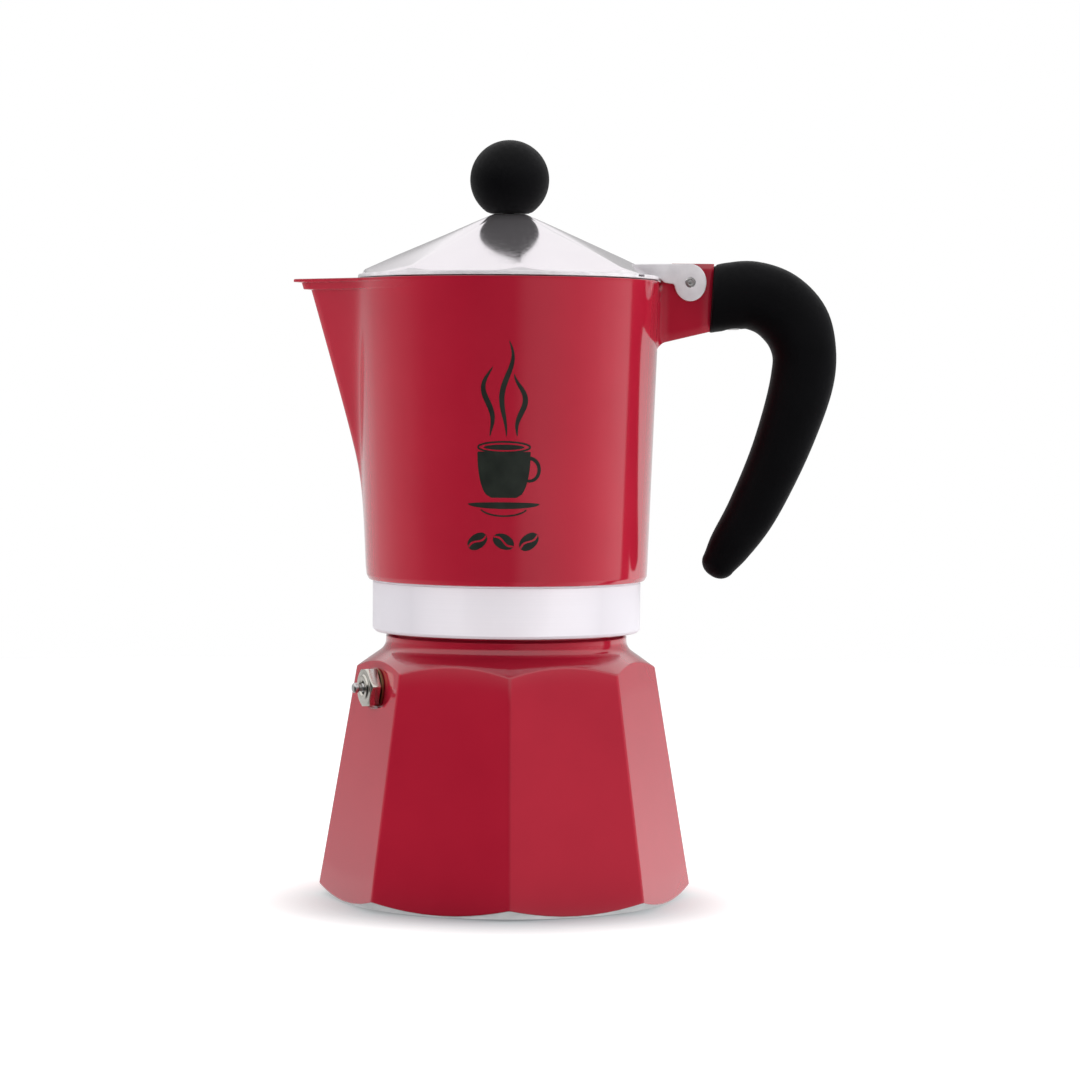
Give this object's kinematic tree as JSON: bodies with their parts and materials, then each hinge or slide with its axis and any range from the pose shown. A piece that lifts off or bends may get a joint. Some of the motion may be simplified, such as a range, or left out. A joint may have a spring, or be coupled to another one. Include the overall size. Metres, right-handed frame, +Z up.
{
  "type": "moka pot",
  "caption": "Stovetop moka pot: faceted boiler with safety valve, lift-out funnel, screw-on collector with spout, hinged lid and hook handle.",
  "frame": {"origin": "centre of the boiler's flat underside, on the pot's axis", "axes": "+Z up along the pot's axis, +X towards the handle, -X towards the spout"},
  "size_m": [0.1546, 0.1062, 0.2151],
  "materials": {
    "red_enamel": "glossy red enamel on cast aluminium",
    "bare_aluminium": "polished and finely brushed aluminium",
    "soft_black": "black soft-touch plastic",
    "steel": "plain steel",
    "plated_brass": "nickel-plated brass",
    "brass": "plain soft brass",
    "white_rubber": "white silicone rubber"
  },
  "bodies": {
    "base": {"boiler": "red_enamel", "valve_washer": "brass", "valve_body": "plated_brass", "valve_seat": "plated_brass", "valve_spring": "steel"},
    "valve": {"valve_stem": "steel", "valve_seal": "white_rubber"},
    "funnel_body": {"funnel": "bare_aluminium", "funnel_screen": "bare_aluminium"},
    "seal": {"gasket": "white_rubber", "filter_plate": "bare_aluminium"},
    "top": {"collector": "red_enamel", "handle": "soft_black", "handle_screw": "steel", "hinge_pin": "steel"},
    "lid_body": {"lid": "bare_aluminium", "knob": "soft_black", "knob_screw": "steel"}
  },
  "joints": [
    {"name": "valve_lift", "type": "slide", "parent": "base", "child": "valve", "axis": [-0.9143, -0.4051, 0], "range_m": [0, 0.0015], "stiffness_N_per_m": 300, "springref_m": -0.003, "deforming": ["valve_spring"]},
    {"name": "funnel_lift", "type": "slide", "parent": "base", "child": "funnel_body", "axis": [0, 0, 1], "range_m": [0, 0.1]},
    {"name": "collector_rise", "type": "slide", "parent": "funnel_body", "child": "seal", "axis": [0, 0, 1], "range_m": [0, 0.0106]},
    {"name": "collector_turn", "type": "hinge", "parent": "seal", "child": "top", "pos_m": [0, 0, 0.0845], "axis": [0, 0, 1], "range_deg": [0, 1080]},
    {"name": "lid_hinge", "type": "hinge", "parent": "top", "child": "lid_body", "pos_m": [0.0513, 0, 0.1749], "axis": [0, 1, 0], "range_deg": [0, 100]}
  ],
  "couplings": [
    {"joint": "collector_rise", "follows": "collector_turn", "m_per_rad": 0.00055704}
  ]
}
